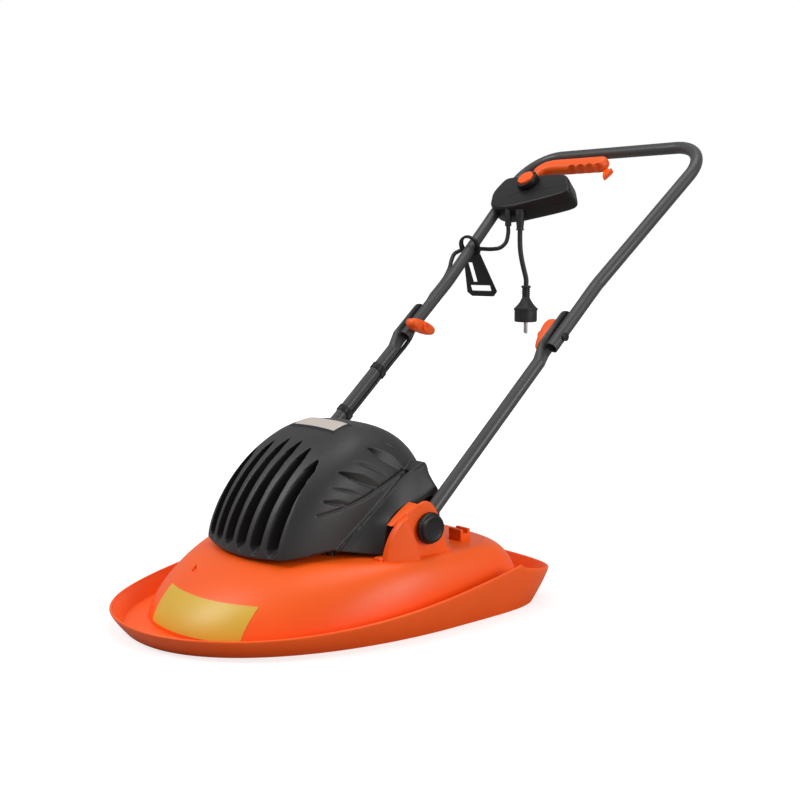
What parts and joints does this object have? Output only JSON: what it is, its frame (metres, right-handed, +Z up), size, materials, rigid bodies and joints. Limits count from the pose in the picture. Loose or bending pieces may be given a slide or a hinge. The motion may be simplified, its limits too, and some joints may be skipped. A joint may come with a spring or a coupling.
{
  "type": "electric hover mower",
  "caption": "Electric hover mower with a flared floating deck, vented motor cover, rotor with impeller and blade, and a folding tubular handle with switch box, start lever and lead.",
  "frame": {"origin": "on the ground under the middle of the overall length and width", "axes": "+Z up, -Y towards the front of the deck, +Y towards the operator, +X to the operator's left"},
  "size_m": [0.46, 0.928, 0.6574],
  "materials": {
    "orange_plastic": "glossy moulded polypropylene, orange-red",
    "cover_plastic": "satin charcoal moulding",
    "dark_plastic": "fine-grained black moulding",
    "tube_paint": "satin black paint on steel tube",
    "cord_rubber": "matt sheath",
    "steel": "zinc-plated or ground steel",
    "core_steel": "stacked laminations",
    "copper": "lacquered copper winding",
    "brass": "plain or nickel-plated brass",
    "carbon": "pressed carbon",
    "aluminium": "die-cast",
    "bush_plastic": "natural nylon"
  },
  "bodies": {
    "deck": {"deck_shell": "orange_plastic", "motor_cover": "cover_plastic", "cover_screws": "steel", "motor_plate": "aluminium", "plate_screws": "steel", "stator_core": "core_steel", "field_coils": "copper", "brush_bracket": "dark_plastic", "brush_holders": "brass", "carbon_brushes": "carbon", "lower_bearing": "steel", "upper_bearing": "steel", "motor_bolts": "steel", "cable_gland": "cord_rubber", "pivot_bolts": "steel"},
    "rotor": {"motor_shaft": "steel", "armature_core": "core_steel", "armature_coils": "copper", "commutator": "copper", "impeller": "dark_plastic", "height_spacers": "dark_plastic", "cutting_blade": "steel", "blade_washer": "steel", "blade_bolt": "steel"},
    "lower_handle": {"lower_tube_left": "tube_paint", "lower_tube_right": "tube_paint", "pivot_bushes": "bush_plastic", "fold_bolts": "steel", "motor_cable_lower": "cord_rubber", "cable_clips": "dark_plastic", "motor_cable_tilt": "cord_rubber"},
    "upper_handle": {"upper_tube": "tube_paint", "switch_box_top": "dark_plastic", "switch_box_base": "dark_plastic", "box_screws": "steel", "microswitch": "dark_plastic", "button_collar": "dark_plastic", "lead_relief": "cord_rubber", "mains_lead": "cord_rubber", "mains_plug": "cord_rubber", "plug_pins": "brass", "motor_cable_upper": "cord_rubber", "cable_outlet": "cord_rubber", "lever_spring": "steel", "button_spring": "steel", "lever_pin": "steel", "motor_cable_fold": "cord_rubber"},
    "start_lever": {"start_lever": "orange_plastic"},
    "lock_button": {"lock_button": "orange_plastic"},
    "cable_hook": {"cable_hook": "dark_plastic"},
    "wing_knob_left": {"wing_knob_left": "orange_plastic"},
    "wing_knob_right": {"wing_knob_right": "orange_plastic"},
    "pivot_knob_left": {"pivot_knob_left": "dark_plastic"},
    "pivot_knob_right": {"pivot_knob_right": "dark_plastic"}
  },
  "joints": [
    {"name": "rotor_spin", "type": "hinge", "parent": "deck", "child": "rotor", "pos_m": [0, -0.19299, 0], "axis": [0, 0, 1], "continuous": true},
    {"name": "handle_tilt", "type": "hinge", "parent": "deck", "child": "lower_handle", "pos_m": [0, -0.11799, 0.127], "axis": [1, 0, 0], "range_deg": [-27, 48], "deforming": ["motor_cable_tilt"]},
    {"name": "handle_fold", "type": "hinge", "parent": "lower_handle", "child": "upper_handle", "pos_m": [0, 0.14236, 0.3639], "axis": [1, 0, 0], "range_deg": [0, 135], "deforming": ["motor_cable_fold"]},
    {"name": "lever_squeeze", "type": "hinge", "parent": "upper_handle", "child": "start_lever", "pos_m": [-0.1396, 0.39014, 0.58936], "axis": [0, -0.673, 0.7396], "range_deg": [0, 4.5], "stiffness_Nm_per_rad": 4, "springref_deg": -6.88, "deforming": ["lever_spring"]},
    {"name": "button_press", "type": "slide", "parent": "upper_handle", "child": "lock_button", "axis": [0, 0.673, -0.7396], "range_m": [0, 0.004], "stiffness_N_per_m": 800, "springref_m": -0.003, "deforming": ["button_spring"]},
    {"name": "hook_swing", "type": "hinge", "parent": "upper_handle", "child": "cable_hook", "pos_m": [-0.16354, 0.2792, 0.48841], "axis": [-0.1063, 0.7354, 0.6692], "range_deg": [-60, 25]},
    {"name": "wing_turn_left", "type": "hinge", "parent": "lower_handle", "child": "wing_knob_left", "pos_m": [0, 0.14236, 0.3639], "axis": [1, 0, 0], "continuous": true},
    {"name": "wing_turn_right", "type": "hinge", "parent": "lower_handle", "child": "wing_knob_right", "pos_m": [0, 0.14236, 0.3639], "axis": [1, 0, 0], "continuous": true},
    {"name": "pivot_turn_left", "type": "hinge", "parent": "deck", "child": "pivot_knob_left", "pos_m": [0, -0.11799, 0.127], "axis": [1, 0, 0], "continuous": true},
    {"name": "pivot_turn_right", "type": "hinge", "parent": "deck", "child": "pivot_knob_right", "pos_m": [0, -0.11799, 0.127], "axis": [1, 0, 0], "continuous": true}
  ]
}
